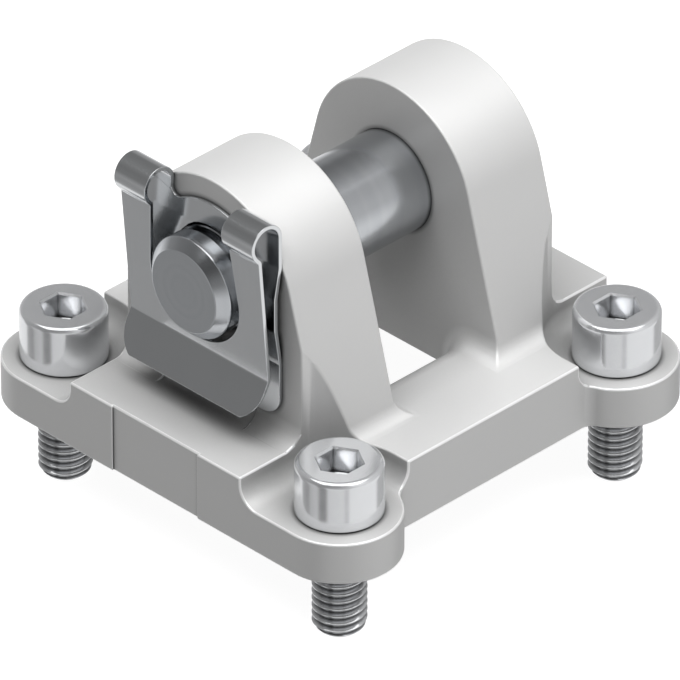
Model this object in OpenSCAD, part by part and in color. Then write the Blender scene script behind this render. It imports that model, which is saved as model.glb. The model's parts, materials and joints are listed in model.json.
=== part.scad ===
// Cylinder clevis mount: a cast foot with two ears, a round pivot pin through both ears,
// a folded spring clip that holds the pin, and four socket head screws.
// The origin is the centre of the mounting face. Z rises to the pivot, X runs along the
// pin, and the clip is at the -X end.

/* [Bolt pattern] */
// Distance between neighbouring screw axes, the same both ways
screw_pitch = 56.5; // [55:0.5:60]
// Diameter of each screw hole in the foot
screw_hole_d = 9; // [8.6:0.1:10]

/* [Foot] */
// Width of the foot over its corner lugs
foot_w = 75; // [73.6:0.2:78]
// Width of the foot across the two cross bars, along Y
bar_span = 62.6; // [58:0.2:66]
// Height of the foot between the lugs
foot_h = 11.2; // [10:0.2:13]
// Height of the corner lugs
lug_h = 6.8; // [6:0.1:8]
// Radius of the round pocket about each screw
pocket_r = 10.8; // [10.2:0.1:11.6]
// Radius of the fillet at the foot of each pocket wall
pocket_fillet_r = 3.2; // [1:0.1:3.4]
// Radius of the fillet between a cross bar and a corner lug
lug_fillet_r = 2; // [0.5:0.1:3]
// Diameter of the centring recess in the mounting face
recess_d = 45; // [38:0.5:46]
// Depth of the centring recess
recess_depth = 5.1; // [3:0.1:6]
// Length of the window between the ears, along Y
window_l = 26; // [22:0.5:28]
// Radius of the rounded upper edge at both ends of the window
window_edge_r = 4; // [1.5:0.1:5]
// Width of the shallow step on the clip side of the foot
step_w = 17.4; // [10:0.2:26]
// Depth of that step
step_depth = 0.28; // [0.1:0.02:0.6]
// Radius of the fillet at the foot of the ear within the width of that step
step_fillet_r = 2.5; // [0.8:0.1:2.9]

/* [Ears] */
// Clear gap between the ears
ear_gap = 21; // [18:0.5:23]
// Thickness of each ear
ear_t = 15; // [13:0.5:16.5]
// Height of the pin axis above the mounting face
pivot_h = 32; // [30.5:0.5:38]
// Radius of the top of each ear, about the pin axis
ear_r = 16; // [15:0.25:18]
// Slope of the ear flanks from upright
ear_lean = 15; // [6:0.5:16]
// Radius of the fillets where an ear grows out of a cross bar
ear_fillet_r = 3; // [1:0.1:3.5]
// Radius of the fillet at the foot of each ear's outer face
outer_fillet_r = 3.1; // [1:0.1:3.3]

/* [Pivot pin] */
// Diameter of the pin
pin_d = 16; // [15:0.25:16.5]
// Radial clearance of the pin in the ears
pin_fit = 0.05; // [0.02:0.01:0.1]
// Diameter of the pin head
pin_head_d = 21; // [19:0.5:24]
// Thickness of the pin head
pin_head_t = 3; // [2:0.25:4]
// Gap between the pin head and its ear
pin_head_gap = 0.15; // [0.1:0.05:0.3]
// Length of the pin beyond the ear at the clip end
pin_tail = 5.9; // [5.8:0.1:8]
// Length of the chamfer on the pin's clip end
pin_chamfer = 1.5; // [0.8:0.1:2]
// Diameter at the bottom of the clip groove
groove_d = 12.6; // [12:0.1:13]

/* [Retaining clip] */
// Thickness of the spring sheet
clip_t = 0.65; // [0.5:0.05:0.8]
// Width of the clip
clip_w = 28; // [27:0.1:30]
// Gap between the back leaf's fork and the bottom of the pin's groove
fork_gap = 0.3; // [0.3:0.05:0.45]
// Gap between the front leaf's slot and the pin
slot_gap = 1; // [0.4:0.1:1.4]
// How far the back leaf bows away from the ear, into the groove
clip_bow = 0.9; // [0.8:0.05:1.2]
// Outer radius of the two curls
curl_r = 3; // [2.6:0.1:3.2]
// Height of the middle of the curls above the pin axis
curl_rise = 13; // [12.6:0.1:14]
// Distance between the two curls
curl_span = 15.5; // [14:0.1:17]
// Distance from the pin axis down to the crease between the front leaf and the lip
crease_drop = 10.3; // [9.6:0.1:11]
// Distance from the back leaf out to that crease
crease_out = 2.3; // [2:0.1:3.2]
// Length of the bent lip below the front leaf
lip_l = 6.7; // [5:0.1:7]
// Angle of the lip from upright
lip_angle = 28; // [10:0.5:32]
// Radius of the lower corners of the lip
lip_corner_r = 4.7; // [1:0.1:4.8]
// Radius of the bends in the sheet, along its middle line
bend_r = 1.5; // [0.6:0.1:2.5]
// Radius of the arched upper edge between the curls, about the pin axis
arch_r = 12.4; // [11.8:0.1:13]
// Radius of the corners between that arch and the curls
notch_r = 1.2; // [0.6:0.1:2]
// Distance from the pin axis up to the centre of the fork's round end
fork_rise = 2.1; // [1:0.1:3]

/* [Screws] */
// Thread diameter of the screws
screw_d = 8; // [6:0.5:8]
// Length of each screw under its head
screw_l = 20; // [14:1:30]
// Diameter of the plain neck between the head and the thread
neck_d = 7.2; // [5:0.1:7.6]
// Diameter of the screw heads
head_d = 13; // [12:0.1:14]
// Height of the screw heads
head_h = 8.1; // [6:0.1:9]
// Radius of the round edge on top of the screw heads
head_edge_r = 0.9; // [0.3:0.1:1.4]
// Diameter of the seat below the screw heads
seat_d = 10; // [9.4:0.2:12.4]
// Width across the flats of the hex socket
socket_af = 6; // [4:0.1:6.6]
// Depth of the hex socket
socket_depth = 4; // [3:0.1:5]
// Diameter of the chamfer at the mouth of the socket
socket_mouth_d = 7.2; // [6.8:0.1:8]

/* [Hidden] */
$fn = 96;
past = 1; // how far a cutter runs past the face that it cuts

// foot
screw_at = screw_pitch / 2;
lug_r = (foot_w - screw_pitch) / 2;
foot_half = foot_w / 2;
bar_half = bar_span / 2;
window_half = window_l / 2;
window_edge_y = window_half + window_edge_r; // where the rounded edge reaches the bar's top

// ears
ear_in = ear_gap / 2;
ear_out = ear_in + ear_t;
ear_top = pivot_h + ear_r;

// pin and its groove
pin_r = pin_d / 2;
bore_r = pin_r + pin_fit;
bore_chamfer = 0.5;
groove_r = groove_d / 2;
groove_slack = 0.27; // room for the sheet on each side in the groove
pin_end = -ear_out - pin_tail;
head_bevel = 0.5;

// clip, as the middle line of its sheet in the XZ plane
leaf_x = -ear_out - clip_t / 2; // back leaf lying on the ear
bow_x = leaf_x - clip_bow; // back leaf in the groove
bow_slant = 0.3; // how far the bow has come back towards the ear beside the pin
groove_in = bow_x + clip_t / 2 + groove_slack + bow_slant;
groove_out = bow_x - clip_t / 2 - groove_slack;
bow_low = pivot_h - 0.31 * pin_r; // the bow's straight middle, and where it leaves the ear
bow_high = pivot_h + 0.35 * pin_r;
bow_foot = pivot_h - 1.06 * pin_r;
bow_head = pivot_h + 0.98 * pin_r;
curl_mid_r = curl_r - clip_t / 2;
curl_x = leaf_x - curl_mid_r; // the back leaf runs straight up into the curls
curl_z = pivot_h + curl_rise;
curl_end = 220; // angle at which a curl runs into the front leaf
jog_l = 1.1; // straight bit between a curl and the front leaf
front_top = [curl_x + curl_mid_r * cos(curl_end) - jog_l * sin(curl_end),
             curl_z + curl_mid_r * sin(curl_end) + jog_l * cos(curl_end)];
crease = [leaf_x - crease_out, pivot_h - crease_drop];
lip_end = crease - lip_l * [sin(lip_angle), cos(lip_angle)];
slot_r = pin_r + slot_gap; // U slot of the front leaf
fork_half = groove_r + fork_gap; // fork of the back leaf
fork_z = pivot_h + fork_rise;
tab_gap = 0.05;
tab_z = foot_h + outer_fillet_r + tab_gap; // lower end of the back leaf
tab_corner_r = 3.5;
leaf_split = (bow_x + crease[0]) / 2; // plane between the two leaves
// The slot's sides lean in from the pin up to the curls. A corner circle lies on such a side
// and on the arch.
pivot = [0, pivot_h];
slot_side = unit([curl_span / 2, curl_z] - [slot_r, pivot_h]);
slot_inward = [-slot_side[1], slot_side[0]];
notch_base = [slot_r, 0] + notch_r * slot_inward;
notch_along = -notch_base * slot_side
    + sqrt(pow(notch_base * slot_side, 2) - notch_base * notch_base + pow(arch_r + notch_r, 2));
notch_mid = pivot + notch_base + notch_along * slot_side;

// screws
seat_h = 0.22;
head_top = lug_h + seat_h + head_h;
socket_chamfer_h = 0.3;
tip_chamfer = 0.9;

// Fillet of radius r in the inner corner of the +X and +Y half axes, as a flat shape.
// Its root reaches into the two pieces that it joins.
module corner_fillet(r, root = 0) {
    difference() {
        translate([-root, -root]) square(r + root);
        translate([r, r]) circle(r);
    }
}

// Distance of an ear's flank from the middle plane at height z, grown outward by d
function flank(z, d = 0) = (ear_r + d) / cos(ear_lean) + (pivot_h - z) * tan(ear_lean);

// Side view of an ear, with X for the object's Y and Y for its Z
module ear_outline() {
    translate([0, pivot_h]) circle(ear_r);
    polygon([[-flank(0), 0], [flank(0), 0],
             [ear_r * cos(ear_lean), pivot_h + ear_r * sin(ear_lean)],
             [-ear_r * cos(ear_lean), pivot_h + ear_r * sin(ear_lean)]]);
    root = 1; // how far the fillets reach into the ear and the bar
    for (side = [-1, 1]) {
        mid = [side * flank(foot_h + ear_fillet_r, ear_fillet_r), foot_h + ear_fillet_r];
        difference() {
            polygon([mid - (ear_fillet_r + root) * [side * cos(ear_lean), sin(ear_lean)],
                     [side * (flank(foot_h) - root), foot_h - root],
                     [mid[0], foot_h - root], mid]);
            translate(mid) circle(ear_fillet_r);
        }
    }
}

// Section of an ear across its thickness, with the fillets at its foot, in X and Z
module ear_section() {
    translate([ear_in, 0]) square([ear_t, ear_top + past]);
    translate([ear_in - ear_fillet_r, 0])
        square([ear_fillet_r + ear_t + outer_fillet_r, foot_h]);
    translate([ear_in, foot_h]) mirror([1, 0]) corner_fillet(ear_fillet_r);
    translate([ear_out, foot_h]) corner_fillet(outer_fillet_r);
}

// One ear at the +X side with all its fillets. They stop short of the rounded window edge.
module ear() {
    difference() {
        intersection() {
            translate([0, bar_half, 0]) rotate([90, 0, 0]) linear_extrude(bar_span) ear_section();
            rotate([90, 0, 90]) linear_extrude(foot_half) ear_outline();
        }
        translate([-ear_in, -window_edge_y, -past])
            cube([ear_gap, 2 * window_edge_y, ear_top + 2 * past]);
    }
}

// The inner fillet of an ear goes on from there at the +X and +Y corner of the window:
// over the rounded window edge and down the window's corner
module window_corner_fillets() {
    root = window_edge_r / 2;
    translate([ear_in, window_edge_y, foot_h - window_edge_r]) rotate([0, -90, 0])
        rotate_extrude(angle = -90) translate([window_edge_r, 0]) corner_fillet(ear_fillet_r, root);
    translate([ear_in, window_half, 0]) rotate(180)
        linear_extrude(foot_h - window_edge_r) corner_fillet(ear_fillet_r, root);
}

// Plan of the foot with its four corner lugs
module foot_plan() {
    square([foot_w, screw_pitch], center = true);
    square([screw_pitch, bar_span], center = true);
    for (x = [-1, 1], y = [-1, 1]) translate([x * screw_at, y * screw_at]) circle(lug_r);
    fillet_y = bar_half + lug_fillet_r;
    fillet_x = screw_at - sqrt(pow(lug_r + lug_fillet_r, 2) - pow(fillet_y - screw_at, 2));
    for (x = [-1, 1], y = [-1, 1]) scale([x, y]) difference() {
        polygon([[fillet_x, bar_half - 1], [screw_at, screw_at], [fillet_x, fillet_y]]);
        translate([fillet_x, fillet_y]) circle(lug_fillet_r);
    }
}

// Cutter over one corner lug at the +X and +Y corner: a round pocket, open outward
module pocket() {
    wall_h = ear_top - lug_h;
    out = pocket_r + foot_half;
    module wall_section(reach) {
        difference() {
            translate([-reach, 0]) square([reach + pocket_r, wall_h]);
            translate([pocket_r, 0]) mirror([1, 0]) corner_fillet(pocket_fillet_r);
        }
    }
    translate([screw_at, screw_at, lug_h]) {
        rotate_extrude() intersection() {
            wall_section(0);
            square([pocket_r, wall_h]);
        }
        rotate([90, 0, 0]) mirror([1, 0, 0]) mirror([0, 0, 1])
            linear_extrude(out) wall_section(out);
        rotate([90, 0, 90]) mirror([1, 0, 0]) linear_extrude(out) wall_section(out);
    }
}

module bracket() {
    color("gainsboro") difference() {
        union() {
            difference() {
                linear_extrude(foot_h) foot_plan();
                // window between the ears, with its rounded upper edges
                cube([ear_gap, window_l, 3 * foot_h], center = true);
                for (side = [0, 1]) mirror([0, side, 0])
                    translate([-ear_in, window_half, foot_h]) rotate([90, 0, 90])
                        linear_extrude(ear_gap) mirror([0, 1]) corner_fillet(window_edge_r);
            }
            for (side = [0, 1]) mirror([side, 0, 0]) {
                ear();
                for (end = [0, 1]) mirror([0, end, 0]) window_corner_fillets();
            }
        }
        for (x = [0, 1], y = [0, 1]) mirror([x, 0, 0]) mirror([0, y, 0]) {
            pocket();
            translate([screw_at, screw_at, -past])
                cylinder(h = lug_h + 2 * past, d = screw_hole_d);
        }
        // centring recess
        translate([0, 0, -past]) cylinder(h = recess_depth + past, d = recess_d);
        // pin bores, with chamfered outer ends
        translate([-ear_out - past, 0, pivot_h]) rotate([0, 90, 0])
            cylinder(h = 2 * (ear_out + past), r = bore_r);
        for (side = [0, 1]) mirror([side, 0, 0])
            translate([ear_out - bore_chamfer, 0, pivot_h]) rotate([0, 90, 0])
                cylinder(h = 2 * bore_chamfer, r1 = bore_r, r2 = bore_r + 2 * bore_chamfer);
        // shallow step below the clip
        translate([-foot_half - past, -step_w / 2, -past])
            cube([step_depth + past, step_w, foot_h + 2 * past]);
        translate([-ear_out, step_w / 2, foot_h]) rotate([90, 0, 0]) mirror([1, 0])
            linear_extrude(step_w) difference() {
                square(outer_fillet_r + past);
                corner_fillet(step_fillet_r);
            }
    }
}

module pivot_pin() {
    reach = ear_out + pin_head_gap;
    color("silver") translate([0, 0, pivot_h]) rotate([0, 90, 0]) rotate_extrude()
        polygon([[0, pin_end], [pin_r - pin_chamfer, pin_end], [pin_r, pin_end + pin_chamfer],
                 [pin_r, groove_out], [groove_r, groove_out], [groove_r, groove_in],
                 [pin_r, groove_in], [pin_r, reach], [pin_head_d / 2 - head_bevel, reach],
                 [pin_head_d / 2, reach + head_bevel],
                 [pin_head_d / 2, reach + pin_head_t - head_bevel],
                 [pin_head_d / 2 - head_bevel, reach + pin_head_t], [0, reach + pin_head_t]]);
}

// Points of an arc of radius r, with steps + 1 points, that rounds the path a, b, c at b
function unit(v) = v / norm(v);
function bend(a, b, c, r, steps = 4) =
    let (to_a = unit(a - b), to_c = unit(c - b), half = acos(to_a * to_c) / 2,
         mid = b + unit(to_a + to_c) * r / sin(half), turn = 180 - 2 * half,
         from = b + to_a * r / tan(half) - mid, to = b + to_c * r / tan(half) - mid)
    [for (i = [0:steps]) let (t = turn * i / steps)
        mid + (from * sin(turn - t) + to * sin(t)) / sin(turn)];

// Middle line of the clip's sheet in the XZ plane, from the tab over a curl to the lip
curl_points = [for (a = [0:5:curl_end])
    [curl_x + curl_mid_r * cos(a), curl_z + curl_mid_r * sin(a)]];
curl_last = curl_points[len(curl_points) - 1];
back_leaf = [[leaf_x, tab_z], [leaf_x, bow_foot], [bow_x, bow_low], [bow_x, bow_high],
             [leaf_x, bow_head], curl_points[0]];
clip_path = concat(
    [back_leaf[0]],
    [for (i = [1:4]) each bend(back_leaf[i - 1], back_leaf[i], back_leaf[i + 1], bend_r)],
    curl_points,
    bend(curl_last, front_top, crease, bend_r / 2),
    bend(front_top, crease, lip_end, bend_r / 2),
    [lip_end]);

// The path of n points p, moved aside by d. An inner point goes along the line between its
// neighbours' directions.
function normal(v) = [-v[1], v[0]] / norm(v);
function offset_point(p, i, d) =
    let (n = len(p) - 1, before = normal(p[max(i, 1)] - p[max(i, 1) - 1]),
         after = normal(p[min(i, n - 1) + 1] - p[min(i, n - 1)]))
    p[i] + d * (before + after) / (1 + before * after);

module sheet_profile(p, t) {
    polygon(concat([for (i = [0:len(p) - 1]) offset_point(p, i, t / 2)],
                   [for (i = [len(p) - 1:-1:0]) offset_point(p, i, -t / 2)]));
}

// Extrudes an outline drawn in Y and Z along X, from x1 to x2
module along_x(x1, x2) {
    translate([x1, 0, 0]) rotate([90, 0, 90]) linear_extrude(x2 - x1) children();
}

// What is cut away outside a rounded lower corner at y, z
module corner_waste(y, z, r) {
    for (side = [-1, 1]) scale([side, 1]) translate([y - r, z]) difference() {
        translate([0, -past]) square([r + past, r + past]);
        translate([0, r]) circle(r);
    }
}

// U slot of the front leaf, with its sides going on between the curls
module slot() {
    translate(pivot) circle(slot_r);
    half = curl_span / 2;
    polygon([[-slot_r, pivot_h], [slot_r, pivot_h], [half, curl_z], [half, ear_top + past],
             [-half, ear_top + past], [-half, curl_z]]);
}

// What is cut away between the curls above the back leaf's arch, with round corners
module arch_waste() {
    difference() {
        slot();
        translate(pivot) circle(arch_r);
        for (side = [0, 1]) mirror([side, 0]) difference() {
            polygon([notch_mid, notch_mid - notch_r * slot_inward,
                     [slot_r, pivot_h + arch_r / 2],
                     pivot + (notch_mid - pivot) * arch_r / (arch_r + notch_r)]);
            translate(notch_mid) circle(notch_r);
        }
    }
}

module retaining_clip() {
    half = clip_w / 2;
    front = lip_end[0] - 2 * clip_t;
    color("lightslategray") difference() {
        rotate([90, 0, 0]) translate([0, 0, -half])
            linear_extrude(clip_w) sheet_profile(clip_path, clip_t);
        // front leaf: slot and rounded lip corners
        along_x(front, leaf_split) {
            slot();
            corner_waste(half, lip_end[1] - clip_t / 2, lip_corner_r);
        }
        // back leaf: arched top, fork below, and rounded tab corners
        along_x(leaf_split, -ear_out + past) {
            arch_waste();
            translate([0, fork_z]) circle(fork_half);
            translate([-fork_half, 0]) square([2 * fork_half, fork_z]);
            corner_waste(half, tab_z, tab_corner_r);
        }
    }
}

// Socket head screw with its head on the lug at screw_at times x, y. Its thread is drawn as
// its outer diameter and starts at the mounting face.
module screw(x, y) {
    r = head_d / 2;
    thread_r = screw_d / 2;
    tip = lug_h - screw_l;
    color("lightgray") translate([x * screw_at, y * screw_at, 0]) difference() {
        rotate_extrude() {
            difference() {
                translate([0, lug_h + seat_h]) square([r, head_h]);
                translate([r - head_edge_r, head_top - head_edge_r]) difference() {
                    square(head_edge_r + past);
                    circle(head_edge_r);
                }
            }
            translate([0, lug_h]) square([seat_d / 2, seat_h + past]);
            polygon([[0, tip], [thread_r - tip_chamfer, tip], [thread_r, tip + tip_chamfer],
                     [thread_r, 0], [neck_d / 2, 0], [neck_d / 2, lug_h + past],
                     [0, lug_h + past]]);
        }
        translate([0, 0, head_top - socket_depth])
            cylinder(h = socket_depth + past, d = socket_af / cos(30), $fn = 6);
        translate([0, 0, head_top - socket_chamfer_h])
            cylinder(h = 2 * socket_chamfer_h, d1 = socket_af, d2 = 2 * socket_mouth_d - socket_af);
    }
}

module screw_clip_left() { screw(-1, 1); }
module screw_clip_right() { screw(-1, -1); }
module screw_head_left() { screw(1, 1); }
module screw_head_right() { screw(1, -1); }

bracket();
pivot_pin();
retaining_clip();
screw_clip_left();
screw_clip_right();
screw_head_left();
screw_head_right();
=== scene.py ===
"""Looks of the cylinder clevis mount: rounded edges, real threads, finishes, light and camera."""
import json
import math

import bmesh
import bpy
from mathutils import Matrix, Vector


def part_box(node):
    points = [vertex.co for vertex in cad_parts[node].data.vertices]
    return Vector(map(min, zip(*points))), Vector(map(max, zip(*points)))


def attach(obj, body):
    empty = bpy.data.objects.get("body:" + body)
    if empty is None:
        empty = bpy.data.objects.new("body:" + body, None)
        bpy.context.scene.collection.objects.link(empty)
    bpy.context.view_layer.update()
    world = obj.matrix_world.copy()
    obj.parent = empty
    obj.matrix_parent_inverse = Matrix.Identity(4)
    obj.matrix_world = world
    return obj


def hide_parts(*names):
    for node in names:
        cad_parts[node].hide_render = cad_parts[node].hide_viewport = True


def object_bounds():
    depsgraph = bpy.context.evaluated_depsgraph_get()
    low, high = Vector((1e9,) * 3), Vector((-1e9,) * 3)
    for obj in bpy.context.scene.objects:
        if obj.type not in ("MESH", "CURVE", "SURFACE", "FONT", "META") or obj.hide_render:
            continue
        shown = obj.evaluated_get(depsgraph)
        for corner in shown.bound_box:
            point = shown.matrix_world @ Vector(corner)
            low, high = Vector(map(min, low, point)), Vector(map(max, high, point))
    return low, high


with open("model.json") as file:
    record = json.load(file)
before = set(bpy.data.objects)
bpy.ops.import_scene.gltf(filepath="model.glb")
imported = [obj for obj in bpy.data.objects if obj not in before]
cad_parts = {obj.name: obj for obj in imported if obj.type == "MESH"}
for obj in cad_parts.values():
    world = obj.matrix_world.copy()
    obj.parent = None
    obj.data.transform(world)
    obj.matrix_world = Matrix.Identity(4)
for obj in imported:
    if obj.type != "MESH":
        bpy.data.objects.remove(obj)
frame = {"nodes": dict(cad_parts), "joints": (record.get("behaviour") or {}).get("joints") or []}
cad_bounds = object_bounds()
MM = 0.001

# Camera, fitted to the photograph
PHOTO_PX = 680
PX_PER_M = 6930.7  # at the target's distance
TARGET = Vector((0, 0, 0.016))
TARGET_PX = (340.35, 300.77)  # where the target lies in the photograph
CAMERA_AZIMUTH = -44.828
CAMERA_ELEVATION = 33.138
CAMERA_DISTANCE = 1.817
CAMERA_CLIP = (0.05, 100)  # nearest and farthest distance that it shows
SENSOR_MM = 36.0

# What the frame gives
PIN_AXIS = Vector(frame["joints"][0]["pos_m"])
SCREWS = ["screw_clip_left", "screw_clip_right", "screw_head_left", "screw_head_right"]

# Copies of CAD nodes, in metres and degrees
MERGE_WITHIN = 0.001 * MM  # vertices this close become one
FLAT_WITHIN = 0.1  # neighbouring faces that turn less than this become one
ROUNDED_FROM = 28  # outer edges that turn more than this are rounded
EDGE_SHARE = 0.4  # of a narrow face beside an edge, the part that its rounding may take up
CASTING_EDGE = 0.3 * MM  # width of the rounding
CLIP_EDGE = 0.1 * MM
BORE_REACH = 8.3 * MM  # edges nearer to the pin's axis than this belong to a bore

# The foot's edges that keep the painted highlight lie below this height, and beyond one of these
# distances from the middle
HIGHLIT_EDGE_BELOW = 11.7 * MM
HIGHLIT_EDGE_BEYOND_X = 20 * MM
HIGHLIT_EDGE_BEYOND_Y = 30 * MM

# Shading stays crisp at edges that turn more than this
SHARP_IN_COPIES = 35
SHARP_WHERE_TURNED = 30

# Pin, in millimetres
PIN_R = 8.0
PIN_CHAMFER = 1.5
PIN_EDGE = 0.15  # small bevel at its chamfer and groove
PIN_EASE = 0.3 * PIN_EDGE  # how far the chamfer's corners are set back
PIN_HEAD_T = 3.0
PIN_HEAD_BEVEL = 0.5
PIN_END_R = 0.01  # radius of the small face that closes each end
GROOVE_R = 6.3
GROOVE_X = (-27.32, -25.83)  # outer and inner side
PIN_STEPS = 144  # columns round the pin

# Screw, in millimetres
HEAD_EDGE_R = 0.9
HEAD_EDGE_STEPS = 12
UNDERSIDE_EDGE = 0.05  # bevel under the head
SEAT_R = 5.0
SEAT_H = 0.22  # the head's underside stands this far above the lug
SOCKET_AF = 6.0
SOCKET_MOUTH_AF = 6.55
SOCKET_MOUTH_H = 0.3
SOCKET_DEPTH = 4.0
DRILL_R = 0.95 * SOCKET_AF / 2  # drill point at the bottom of the socket
DRILL_SLOPE = 30
DRILL_TIP_R = 0.05
LUG_H = 6.8
NECK_R = 3.6
NECK_START = 0.4  # height at which the thread has run out
THREAD_R = 4.0
THREAD_TOP = 0  # the thread ends at the mounting face
THREAD_PITCH = 1.25
THREAD_CREST = THREAD_PITCH / 16  # half of the crest's width
THREAD_FLANK = 30
THREAD_DEPTH = 0.74
THREAD_ROOT = 0.7  # share of the depth where the root starts to round
THREAD_ROOT_FILL = 0.06  # depth that the rounding takes away at the bottom
TIP_CHAMFER = 0.9
THREAD_STEPS = 96  # columns round the thread
THREAD_MERGE = 0.0005 * MM
# Places along one pitch, from the middle of a crest, where the thread has points
THREAD_PHASES = (0, 0.05, 0.09, 0.2, 0.31, 0.4, 0.45, 0.5, 0.55, 0.6, 0.69, 0.8, 0.91, 0.95)


def camera_axes():
    """Right, up and back directions of the camera."""
    azimuth, elevation = math.radians(CAMERA_AZIMUTH), math.radians(CAMERA_ELEVATION)
    back = Vector((math.sin(azimuth) * math.cos(elevation),
                   -math.cos(azimuth) * math.cos(elevation), math.sin(elevation)))
    right = Vector((math.cos(azimuth), math.sin(azimuth), 0))
    return right, back.cross(right), back


def link_object(name, data):
    thing = bpy.data.objects.new(name, data)
    bpy.context.scene.collection.objects.link(thing)
    return thing


def add_camera():
    """The photograph's camera, aimed so that the target falls where the photograph has it."""
    right, up, back = camera_axes()
    data = bpy.data.cameras.new("camera")
    data.sensor_width = SENSOR_MM
    data.lens = PX_PER_M * CAMERA_DISTANCE * SENSOR_MM / PHOTO_PX
    data.clip_start, data.clip_end = CAMERA_CLIP
    camera = link_object("camera", data)
    aside = (PHOTO_PX / 2 - TARGET_PX[0]) / PX_PER_M
    lift = (TARGET_PX[1] - PHOTO_PX / 2) / PX_PER_M
    aim = TARGET + aside * right + lift * up
    camera.location = TARGET + CAMERA_DISTANCE * back
    camera.rotation_euler = (camera.location - aim).to_track_quat("Z", "Y").to_euler()
    bpy.context.scene.camera = camera


# Node helpers

# Samples for the painted shade in creases
PAINTED_SHADE_SAMPLES = 8


def new_tree(name):
    """A node material, its tree and its shader."""
    material = bpy.data.materials.new(name)
    material.use_nodes = True
    return material, material.node_tree, material.node_tree.nodes["Principled BSDF"]


def feed(tree, socket, value):
    """Links a socket's value, or sets a plain one."""
    if isinstance(value, bpy.types.NodeSocket):
        tree.links.new(value, socket)
    else:
        socket.default_value = value


def math_node(tree, operation, *values):
    node = tree.nodes.new("ShaderNodeMath")
    node.operation = operation
    for socket, value in zip(node.inputs, values):
        feed(tree, socket, value)
    return node.outputs[0]


def vector_node(tree, operation, *values):
    node = tree.nodes.new("ShaderNodeVectorMath")
    node.operation = operation
    for socket, value in zip(node.inputs, values):
        feed(tree, socket, value)
    return node


def noise(tree, vector, scale, detail):
    node = tree.nodes.new("ShaderNodeTexNoise")
    node.inputs["Scale"].default_value = scale
    node.inputs["Detail"].default_value = detail
    tree.links.new(vector, node.inputs["Vector"])
    return node.outputs["Fac"]


def spread(tree, value, low, high, start=0.3, end=0.7):
    """The value's range from start to end, spread over low to high."""
    node = tree.nodes.new("ShaderNodeMapRange")
    for name, number in (("From Min", start), ("From Max", end), ("To Min", low), ("To Max", high)):
        node.inputs[name].default_value = number
    tree.links.new(value, node.inputs["Value"])
    return node.outputs["Result"]


def mix(tree, factor, a, b):
    """A colour between a and b."""
    node = tree.nodes.new("ShaderNodeMix")
    node.data_type = "RGBA"
    for name, value in (("Factor", factor), ("A", a), ("B", b)):
        feed(tree, node.inputs[name], value)
    return node.outputs["Result"]


def tint(tree, value, dark, light):
    return mix(tree, value, (*dark, 1), (*light, 1))


def bump(tree, height, distance, strength):
    node = tree.nodes.new("ShaderNodeBump")
    node.inputs["Distance"].default_value = distance
    node.inputs["Strength"].default_value = strength
    tree.links.new(height, node.inputs["Height"])
    return node.outputs["Normal"]


def object_coordinates(tree, stretch=(1, 1, 1)):
    place = tree.nodes.new("ShaderNodeTexCoord")
    mapping = tree.nodes.new("ShaderNodeMapping")
    mapping.inputs["Scale"].default_value = stretch
    tree.links.new(place.outputs["Object"], mapping.inputs["Vector"])
    return mapping.outputs["Vector"]


def turned_coordinates(tree, axis, centre, scale):
    """Coordinates of a turned piece: the place along its axis and the distance from it."""
    place = tree.nodes.new("ShaderNodeTexCoord").outputs["Object"]
    offset = vector_node(tree, "SUBTRACT", place, centre).outputs[0]
    across = [0 if i == axis else 1 for i in range(3)]
    sideways = vector_node(tree, "MULTIPLY", offset, across).outputs[0]
    distance = vector_node(tree, "LENGTH", sideways).outputs["Value"]
    split = tree.nodes.new("ShaderNodeSeparateXYZ")
    tree.links.new(offset, split.inputs[0])
    join = tree.nodes.new("ShaderNodeCombineXYZ")
    for socket, value in zip(join.inputs, (split.outputs[axis], distance)):
        tree.links.new(math_node(tree, "MULTIPLY", value, scale), socket)
    return join.outputs[0]


def painted_shade_in_creases(tree, colour, reach, power=1.0, own_only=False):
    """The colour with painted shade: darker where other surfaces, or only the piece's own, stand
    close to a point.
    """
    # Painted shade: the colour is scaled down by how closed in each point is
    near = tree.nodes.new("ShaderNodeAmbientOcclusion")
    near.samples = PAINTED_SHADE_SAMPLES
    near.only_local = own_only
    near.inputs["Distance"].default_value = reach
    openness = math_node(tree, "POWER", near.outputs["AO"], power)
    scaled = vector_node(tree, "SCALE", colour)
    tree.links.new(openness, scaled.inputs["Scale"])
    return scaled.outputs[0]


# Materials

def cast_aluminium():
    """Shot-blasted casting: pale, satin, with a fine grain, faint clouds and painted shade where it
    is sheltered or creased.
    """
    material, tree, shader = new_tree("cast_aluminium")
    clouds = noise(tree, object_coordinates(tree), scale=60, detail=4)
    grain = noise(tree, object_coordinates(tree), scale=3500, detail=3)
    colour = tint(tree, clouds, dark=(0.6, 0.6, 0.598), light=(0.64, 0.64, 0.637))
    # Painted shade: faint and wide where other parts of the casting stand within 22 mm, then strong
    # in creases within 0.8 mm
    painted_shelter_shade = painted_shade_in_creases(tree, colour, reach=22 * MM, power=0.45)
    painted_crease_shade = painted_shade_in_creases(tree, painted_shelter_shade, reach=0.8 * MM, power=1.5)
    normal = bump(tree, grain, distance=0.012 * MM, strength=0.5)
    shader.inputs["Metallic"].default_value = 0.35
    tree.links.new(painted_crease_shade, shader.inputs["Base Color"])
    tree.links.new(spread(tree, clouds, 0.42, 0.5), shader.inputs["Roughness"])
    tree.links.new(normal, shader.inputs["Normal"])
    return material


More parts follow.
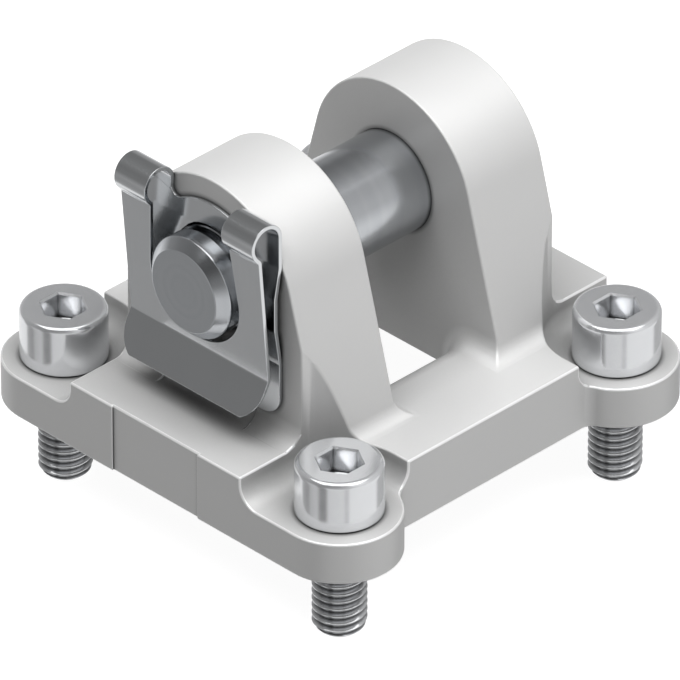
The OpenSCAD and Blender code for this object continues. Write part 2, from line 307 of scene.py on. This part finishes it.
def cast_edge_painted_highlight():
    """Edges of the casting: smoother than its faces, and lighter as a painted highlight."""
    material, tree, shader = new_tree("cast_edge_painted_highlight")
    clouds = noise(tree, object_coordinates(tree), scale=300, detail=3)
    # Painted highlight: the edges are much lighter than the casting's faces
    colour = tint(tree, clouds, dark=(0.8, 0.8, 0.8), light=(0.86, 0.86, 0.86))
    # Painted shade where the edges run into creases
    painted_crease_shade = painted_shade_in_creases(tree, colour, reach=0.8 * MM)
    shader.inputs["Metallic"].default_value = 0.5
    tree.links.new(painted_crease_shade, shader.inputs["Base Color"])
    tree.links.new(spread(tree, clouds, 0.3, 0.36), shader.inputs["Roughness"])
    return material


def ground_steel():
    """Ground pin: fine lines round its axis, on its end face too."""
    material, tree, shader = new_tree("ground_steel")
    lines = noise(tree, turned_coordinates(tree, 0, PIN_AXIS, 9000), scale=1, detail=2)
    bands = noise(tree, turned_coordinates(tree, 0, PIN_AXIS, 700), scale=1, detail=2)
    colour = tint(tree, bands, dark=(0.53, 0.55, 0.575), light=(0.6, 0.615, 0.635))
    # Painted shade in creases and near other parts, within 0.8 mm
    painted_crease_shade = painted_shade_in_creases(tree, colour, reach=0.8 * MM)
    normal = bump(tree, lines, distance=0.001 * MM, strength=0.2)
    shader.inputs["Metallic"].default_value = 1.0
    tree.links.new(painted_crease_shade, shader.inputs["Base Color"])
    tree.links.new(spread(tree, lines, 0.17, 0.21), shader.inputs["Roughness"])
    tree.links.new(normal, shader.inputs["Normal"])
    return material


def spring_steel():
    """Rolled spring sheet: slightly blue, with faint streaks along the strip."""
    material, tree, shader = new_tree("spring_steel")
    streaks = noise(tree, object_coordinates(tree, stretch=(1, 24, 1)), scale=160, detail=3)
    clouds = noise(tree, object_coordinates(tree), scale=120, detail=2)
    colour = tint(tree, clouds, dark=(0.68, 0.695, 0.71), light=(0.73, 0.745, 0.76))
    # Painted shade where the clip's own sheet stands within 5 mm, as inside its bends and curls
    painted_shelter_shade = painted_shade_in_creases(tree, colour, reach=5 * MM, power=0.2, own_only=True)
    normal = bump(tree, streaks, distance=0.001 * MM, strength=0.15)
    shader.inputs["Metallic"].default_value = 1.0
    tree.links.new(painted_shelter_shade, shader.inputs["Base Color"])
    tree.links.new(spread(tree, streaks, 0.13, 0.17), shader.inputs["Roughness"])
    tree.links.new(normal, shader.inputs["Normal"])
    return material


def plated_steel():
    """Bright zinc plating over turning marks."""
    material, tree, shader = new_tree("plated_steel")
    marks = noise(tree, turned_coordinates(tree, 2, (0, 0, 0), 5000), scale=1, detail=2)
    clouds = noise(tree, object_coordinates(tree), scale=500, detail=3)
    colour = tint(tree, clouds, dark=(0.74, 0.75, 0.77), light=(0.8, 0.81, 0.825))
    # Painted shade, strong, in the thread's grooves and the hex socket, from the screw's own
    # surfaces only
    painted_crease_shade = painted_shade_in_creases(tree, colour, reach=0.75 * MM, power=2.8, own_only=True)
    normal = bump(tree, marks, distance=0.002 * MM, strength=0.4)
    shader.inputs["Metallic"].default_value = 0.82
    tree.links.new(painted_crease_shade, shader.inputs["Base Color"])
    tree.links.new(spread(tree, clouds, 0.13, 0.2), shader.inputs["Roughness"])
    tree.links.new(normal, shader.inputs["Normal"])
    return material


# Mesh helpers

def to_mesh(bm, name, materials):
    mesh = bpy.data.meshes.new(name)
    bm.to_mesh(mesh)
    bm.free()
    for material in materials:
        mesh.materials.append(material)
    return mesh


def shade(mesh, sharp_angle):
    """Smooth shading that stays crisp at edges sharper than the angle."""
    mesh.polygons.foreach_set("use_smooth", [True] * len(mesh.polygons))
    mesh.set_sharp_from_angle(angle=math.radians(sharp_angle))


def apply_modifiers(piece):
    depsgraph = bpy.context.evaluated_depsgraph_get()
    shaped = bpy.data.meshes.new_from_object(piece.evaluated_get(depsgraph))
    piece.modifiers.clear()
    old, piece.data = piece.data, shaped
    bpy.data.meshes.remove(old)


def weighted_normals(piece):
    """Lets large flat faces keep their flat shading next to rounded edges."""
    modifier = piece.modifiers.new("normals", "WEIGHTED_NORMAL")
    modifier.keep_sharp = True
    modifier.weight = 100
    apply_modifiers(piece)


def revolve(bm, profile, steps, place):
    """Rings of vertices, joined by faces, for a profile of radii and heights.

    A radius is a number or a function of the angle, and place turns a radius, an angle and a
    height into a point."""
    rings = []
    for radius, height in profile:
        ring = []
        for i in range(steps):
            angle = 2 * math.pi * i / steps
            r = radius(angle) if callable(radius) else radius
            ring.append(bm.verts.new(place(r, angle, height)))
        rings.append(ring)
    for low, high in zip(rings, rings[1:]):
        for i in range(steps):
            j = (i + 1) % steps
            bm.faces.new((low[i], low[j], high[j], high[i]))
    return rings


def arc(centre, radius, start, end, steps):
    """Points of an arc, from the start angle to the end angle in degrees."""
    angles = [math.radians(start + (end - start) * i / steps) for i in range(steps + 1)]
    return [(centre[0] + radius * math.cos(a), centre[1] + radius * math.sin(a)) for a in angles]


# Casting and clip, from their CAD nodes

def room_beside(edge):
    """How far the narrower of the two faces of an edge reaches away from it."""
    start, along = edge.verts[0].co, (edge.verts[1].co - edge.verts[0].co).normalized()
    reach = []
    for face in edge.link_faces:
        offsets = [vert.co - start for vert in face.verts]
        reach.append(max((offset - offset.dot(along) * along).length for offset in offsets))
    return min(reach)


def at_bore(edge):
    """Whether an edge lies round the pin, at a bore."""
    return all(math.hypot(vert.co.y, vert.co.z - PIN_AXIS.z) < BORE_REACH for vert in edge.verts)


def drop_film(bm):
    """Deletes what is left of a wall too thin to see, once its two sides have merged."""
    film = [face for face in bm.faces if any(edge.is_boundary for edge in face.edges)]
    bmesh.ops.delete(bm, geom=film, context="FACES")


def merged_copy(node):
    """A copy of a CAD node's mesh, in which each flat face is one face."""
    bm = bmesh.new()
    bm.from_mesh(frame["nodes"][node].data)
    bmesh.ops.remove_doubles(bm, verts=bm.verts, dist=MERGE_WITHIN)
    drop_film(bm)
    bmesh.ops.dissolve_limit(bm, angle_limit=math.radians(FLAT_WITHIN),
                             verts=bm.verts, edges=bm.edges)
    return bm


def mark_outer_edges(bm, width):
    """Gives the sharp outer edges their bevel weights, lower where a face is narrow."""
    weights = bm.edges.layers.float.new("bevel_weight_edge")
    for edge in bm.edges:
        outer = edge.is_manifold and edge.is_convex
        if outer and edge.calc_face_angle() > math.radians(ROUNDED_FROM) and not at_bore(edge):
            edge[weights] = min(1, EDGE_SHARE * room_beside(edge) / width)


def round_marked_edges(piece, width, segments):
    """Rounds the weighted edges and puts the last of the piece's materials on them."""
    bevel = piece.modifiers.new("edges", "BEVEL")
    bevel.limit_method = "WEIGHT"
    bevel.width = width
    bevel.segments = segments
    bevel.use_clamp_overlap = False
    bevel.material = len(piece.data.materials) - 1
    apply_modifiers(piece)


def on_highlit_foot_edge(place):
    outside = abs(place.x) > HIGHLIT_EDGE_BEYOND_X or abs(place.y) > HIGHLIT_EDGE_BEYOND_Y
    return outside and place.z < HIGHLIT_EDGE_BELOW


def rounded_copy(name, node, width, segments, materials):
    """A copy of a CAD node with its sharp outer edges rounded.

    The last of the materials, with its painted highlight, stays only on the rounded edges of the
    foot."""
    bm = merged_copy(node)
    mark_outer_edges(bm, width)
    mesh = to_mesh(bm, name, materials)
    shade(mesh, SHARP_IN_COPIES)
    piece = link_object(name, mesh)
    round_marked_edges(piece, width, segments)
    # Everywhere but on the foot's edges, the painted highlight of the edge material is left out
    for face in piece.data.polygons:
        if not on_highlit_foot_edge(face.center):
            face.material_index = 0
    shade(piece.data, SHARP_IN_COPIES)
    weighted_normals(piece)
    return piece


# Pin, whose outline is given as radius and X in millimetres

def pin_end(x):
    """Outline of the chamfered end, from its middle outwards."""
    inner_r, shoulder = PIN_R - PIN_CHAMFER, x + PIN_CHAMFER
    slope = PIN_EDGE * math.sqrt(0.5)
    return [(PIN_END_R, x), (inner_r - PIN_EDGE, x), (inner_r, x + PIN_EASE),
            (inner_r + slope, x + slope), (PIN_R - slope, shoulder - slope),
            (PIN_R - PIN_EASE, shoulder), (PIN_R, shoulder + PIN_EDGE)]


def clip_groove():
    """Outline of the groove in which the clip's fork stands."""
    outer, inner = GROOVE_X
    return [(PIN_R, outer - PIN_EDGE), (PIN_R - PIN_EDGE, outer), (GROOVE_R, outer),
            (GROOVE_R, inner), (PIN_R - PIN_EDGE, inner), (PIN_R, inner + PIN_EDGE)]


def pin_head(x, head_r):
    """Outline of the head, from its underside to the middle of its flat end."""
    under, rim = x - PIN_HEAD_T, head_r - PIN_HEAD_BEVEL
    return [(PIN_R, under), (rim, under), (head_r, under + PIN_HEAD_BEVEL),
            (head_r, x - PIN_HEAD_BEVEL), (rim, x), (PIN_END_R, x)]


def around_pin(r, angle, x):
    return Vector((x * MM, r * MM * math.cos(angle), r * MM * math.sin(angle) + PIN_AXIS.z))


def build_pin(material):
    low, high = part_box("pivot_pin")
    end, back = low[0] / MM, high[0] / MM
    head_r = (high[1] - low[1]) / 2 / MM
    profile = pin_end(end) + clip_groove() + pin_head(back, head_r)
    bm = bmesh.new()
    rings = revolve(bm, profile, PIN_STEPS, around_pin)
    bm.faces.new(reversed(rings[0]))
    bm.faces.new(rings[-1])
    bmesh.ops.recalc_face_normals(bm, faces=bm.faces)
    mesh = to_mesh(bm, "pin_body", [material])
    shade(mesh, SHARP_WHERE_TURNED)
    pin = link_object("pin_body", mesh)
    weighted_normals(pin)
    return pin


# Screws, on their own axis and in millimetres

def hexagon(width):
    """Radius, as a function of the angle, of a hexagon with two corners along X."""
    def radius(angle):
        return width / 2 / math.cos(math.radians(math.degrees(angle) % 60 - 30))
    return radius


def thread_depth(phase):
    """Depth of the thread below its crest at a phase along one pitch, rounded at the root."""
    away = min(phase % 1, 1 - phase % 1) * THREAD_PITCH - THREAD_CREST
    depth = min(max(away / math.tan(math.radians(THREAD_FLANK)), 0), THREAD_DEPTH)
    into_root = max(0, depth / THREAD_DEPTH - THREAD_ROOT) / (1 - THREAD_ROOT)
    return depth - THREAD_ROOT_FILL * into_root


def thread_radius(angle, z, tip):
    """Outline of the threaded shank at an angle and height, with the chamfered tip."""
    phase = z / THREAD_PITCH - angle / (2 * math.pi)
    return min(THREAD_R - thread_depth(phase), THREAD_R - TIP_CHAMFER + (z - tip))


def upright(r, angle, z):
    return Vector((r * math.cos(angle), r * math.sin(angle), z)) * MM


def add_thread(bm, tip):
    """Rows of vertices that follow the helix from the tip to the top of the thread."""
    turns = range(math.floor(tip / THREAD_PITCH) - 2, math.ceil(THREAD_TOP / THREAD_PITCH) + 2)
    starts = [(turn + phase) * THREAD_PITCH for turn in turns for phase in THREAD_PHASES]
    rows = []
    for start in starts:
        row = []
        for i in range(THREAD_STEPS + 1):
            angle = 2 * math.pi * i / THREAD_STEPS
            z = min(max(start + THREAD_PITCH * i / THREAD_STEPS, tip), THREAD_TOP)
            row.append(bm.verts.new(upright(thread_radius(angle, z, tip), angle, z)))
        rows.append(row)
    for low, high in zip(rows, rows[1:]):
        for i in range(THREAD_STEPS):
            bm.faces.new((low[i], low[i + 1], high[i + 1], high[i]))


def screw_profile(tip, top, head_r):
    """Radius and height of a screw's outline, from the thread's top to the socket's point."""
    def thread_end(angle):
        return thread_radius(angle, THREAD_TOP, tip)

    underside = LUG_H + SEAT_H
    edge = arc((head_r - HEAD_EDGE_R, top - HEAD_EDGE_R), HEAD_EDGE_R, 0, 90, HEAD_EDGE_STEPS)
    floor_z = top - SOCKET_DEPTH
    return [(thread_end, THREAD_TOP), (NECK_R, NECK_START), (NECK_R, LUG_H), (SEAT_R, LUG_H),
            (SEAT_R, underside), (head_r - UNDERSIDE_EDGE, underside),
            (head_r, underside + UNDERSIDE_EDGE), *edge,
            (hexagon(SOCKET_MOUTH_AF), top), (hexagon(SOCKET_AF), top - SOCKET_MOUTH_H),
            (hexagon(SOCKET_AF), floor_z), (DRILL_R, floor_z),
            (DRILL_TIP_R, floor_z - DRILL_R * math.tan(math.radians(DRILL_SLOPE)))]


def screw_mesh(material):
    """A socket head screw with a hex socket and a real thread."""
    low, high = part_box(SCREWS[0])
    tip, top = low[2] / MM, high[2] / MM
    head_r = (high[0] - low[0]) / 2 / MM
    bm = bmesh.new()
    rings = revolve(bm, screw_profile(tip, top, head_r), THREAD_STEPS, upright)
    bm.faces.new(rings[-1])
    add_thread(bm, tip)
    bmesh.ops.remove_doubles(bm, verts=bm.verts, dist=THREAD_MERGE)
    bmesh.ops.dissolve_degenerate(bm, edges=bm.edges, dist=THREAD_MERGE)
    tip_ring = [edge for edge in bm.edges if edge.is_boundary]
    bmesh.ops.contextual_create(bm, geom=tip_ring)
    bmesh.ops.recalc_face_normals(bm, faces=bm.faces)
    mesh = to_mesh(bm, "socket_screw", [material])
    shade(mesh, SHARP_WHERE_TURNED)
    return mesh


def build_screws(material):
    """The four screws, which share one mesh."""
    pieces = []
    for node in SCREWS:
        low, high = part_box(node)
        name = node.replace("screw", "socket_screw")
        if pieces:
            piece = link_object(name, pieces[0].data)
        else:
            piece = link_object(name, screw_mesh(material))
            weighted_normals(piece)
        piece.location = ((low[0] + high[0]) / 2, (low[1] + high[1]) / 2, 0)
        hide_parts(node)
        pieces.append(piece)
    return pieces


# Light

# Brightness of the studio by azimuth, from the camera's own side and rising to the right:
# below the horizon, above it and high up
LOW_BAND = (
    (-180, 1.0), (-112, 1.0), (-104, 0.42), (-94, 0.32), (-85, 0.3), (-79, 0.5), (-58, 0.6),
    (-50, 0.24), (-36, 0.22), (-28, 0.72), (10, 0.78), (15, 0.62), (21, 0.62), (27, 0.92),
    (104, 0.95), (114, 0.45), (156, 0.45), (168, 0.8), (180, 1.0))
MIDDLE_BAND = (
    (-180, 0.35), (-130, 0.33), (-90, 0.215), (-60, 0.19), (-46, 0.12), (-20, 0.2),
    (0, 0.3), (20, 0.4), (46, 0.72), (70, 0.7), (90, 0.6), (130, 0.38), (180, 0.35))
HIGH_BAND = (
    (-180, 0.2), (-130, 0.23), (-100, 0.22), (-60, 0.12), (-20, 0.1), (0, 0.15), (20, 0.35),
    (38, 0.85), (60, 0.95), (78, 0.62), (100, 0.5), (125, 0.45), (150, 0.32), (180, 0.2))
NADIR = 0.12  # brightness straight below

# Heights in degrees between which one band gives way to the next
NADIR_TO_LOW = (-64, -50)
LOW_TO_MIDDLE = (-14, 6)
MIDDLE_TO_HIGH = (16, 30)

WORLD_ON_MATT = 0.44  # share of the studio's light that matt surfaces get

# Softbox over the part, in metres. X and Y are to the camera's right and towards it. Matt
# surfaces and reflections get light of their own from it.
SOFTBOX_HEIGHT = 1.0
SOFTBOX_X = (-0.75, 0.78)
SOFTBOX_Y = (-0.18, 0.62)
SOFTBOX_ON_MATT = 6.0
SOFTBOX_IN_REFLECTIONS = 1.45
SHINE_DROP = 0.01  # the light for reflections hangs lower, so that no ray stops at the other one

FLOOR_RADIUS = 12
FLOOR_STEPS = 64
FLOOR_GREY = 0.25
FLOOR_GLOW = 0.92


def ramp(tree, azimuth, band):
    """The brightness of a band at an azimuth."""
    node = tree.nodes.new("ShaderNodeValToRGB")
    elements = node.color_ramp.elements
    elements[0].position, elements[1].position = 0, 1
    for degrees, _ in band[1:-1]:
        elements.new((degrees + 180) / 360)
    for element, (_, level) in zip(elements, band):
        element.color = (level, level, level, 1)
    share = spread(tree, azimuth, 0, 1, math.radians(-180), math.radians(180))
    tree.links.new(share, node.inputs["Fac"])
    return node.outputs["Color"]


def sky_direction(tree):
    """Azimuth from the camera's own side, and elevation, of what a ray meets in the world."""
    place = tree.nodes.new("ShaderNodeTexCoord")
    turn = tree.nodes.new("ShaderNodeMapping")
    turn.inputs["Rotation"].default_value = (0, 0, math.radians(90 - CAMERA_AZIMUTH))
    tree.links.new(place.outputs["Generated"], turn.inputs["Vector"])
    split = tree.nodes.new("ShaderNodeSeparateXYZ")
    tree.links.new(turn.outputs["Vector"], split.inputs["Vector"])
    azimuth = math_node(tree, "ARCTAN2", split.outputs["Y"], split.outputs["X"])
    return azimuth, math_node(tree, "ARCSINE", split.outputs["Z"])


def add_studio():
    """A plain studio as the world: three bands of soft light, dimmer for matt surfaces."""
    world = bpy.data.worlds.new("studio")
    bpy.context.scene.world = world
    world.use_nodes = True
    tree = world.node_tree
    azimuth, elevation = sky_direction(tree)
    low, middle, high = [ramp(tree, azimuth, band) for band in (LOW_BAND, MIDDLE_BAND, HIGH_BAND)]

    def above(heights):
        return spread(tree, elevation, 0, 1, math.radians(heights[0]), math.radians(heights[1]))

    light = mix(tree, above(NADIR_TO_LOW), (NADIR, NADIR, NADIR, 1), low)
    light = mix(tree, above(LOW_TO_MIDDLE), light, middle)
    light = mix(tree, above(MIDDLE_TO_HIGH), light, high)
    ray = tree.nodes.new("ShaderNodeLightPath").outputs["Is Diffuse Ray"]
    strength = spread(tree, ray, 1, WORLD_ON_MATT, 0, 1)
    background = tree.nodes["Background"]
    tree.links.new(light, background.inputs["Color"])
    tree.links.new(strength, background.inputs["Strength"])


def add_softbox(name, radiance, height):
    """One large soft light over the part."""
    right, _, back = camera_axes()
    front = Vector((back.x, back.y, 0)).normalized()
    size_x = SOFTBOX_X[1] - SOFTBOX_X[0]
    size_y = SOFTBOX_Y[1] - SOFTBOX_Y[0]
    data = bpy.data.lights.new(name, "AREA")
    data.shape = "RECTANGLE"
    data.size, data.size_y = size_x, size_y
    data.energy = radiance * math.pi * size_x * size_y
    light = link_object(name, data)
    light.location = (sum(SOFTBOX_X) / 2 * right + sum(SOFTBOX_Y) / 2 * front
                      + Vector((0, 0, height)))
    light.rotation_euler.z = math.radians(CAMERA_AZIMUTH)
    return light


def add_lights():
    matt = add_softbox("softbox", SOFTBOX_ON_MATT, SOFTBOX_HEIGHT)
    matt.visible_glossy = False
    shine = add_softbox("softbox_shine", SOFTBOX_IN_REFLECTIONS, SOFTBOX_HEIGHT - SHINE_DROP)
    shine.visible_diffuse = False


def floor_finish():
    material, _, shader = new_tree("floor")
    shader.inputs["Base Color"].default_value = (FLOOR_GREY, FLOOR_GREY, FLOOR_GREY, 1)
    shader.inputs["Emission Color"].default_value = (1, 1, 1, 1)
    shader.inputs["Emission Strength"].default_value = FLOOR_GLOW
    shader.inputs["Roughness"].default_value = 1.0
    shader.inputs["Specular IOR Level"].default_value = 0.0
    return material


def add_floor():
    """A plain pale floor at the screw tips. It shows, but adds no light of its own to the part."""
    bm = bmesh.new()
    bmesh.ops.create_circle(bm, cap_ends=True, segments=FLOOR_STEPS, radius=FLOOR_RADIUS)
    floor = link_object("floor", to_mesh(bm, "floor", [floor_finish()]))
    floor.location.z = cad_bounds[0][2]
    floor.visible_diffuse = False
    floor.visible_glossy = False
    floor.visible_shadow = False


def add_pieces():
    casting = rounded_copy("casting", "bracket", width=CASTING_EDGE, segments=3,
                           materials=[cast_aluminium(), cast_edge_painted_highlight()])
    clip = rounded_copy("spring_clip", "retaining_clip", width=CLIP_EDGE, segments=2,
                        materials=[spring_steel()])
    pin = build_pin(ground_steel())
    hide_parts("bracket")
    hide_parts("retaining_clip")
    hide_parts("pivot_pin")
    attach(casting, "foot")
    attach(clip, "foot")
    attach(pin, "pin")
    for screw in build_screws(plated_steel()):
        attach(screw, "foot")


add_camera()
add_studio()
add_lights()
add_floor()
add_pieces()
bpy.context.scene.view_settings.view_transform = "Standard"
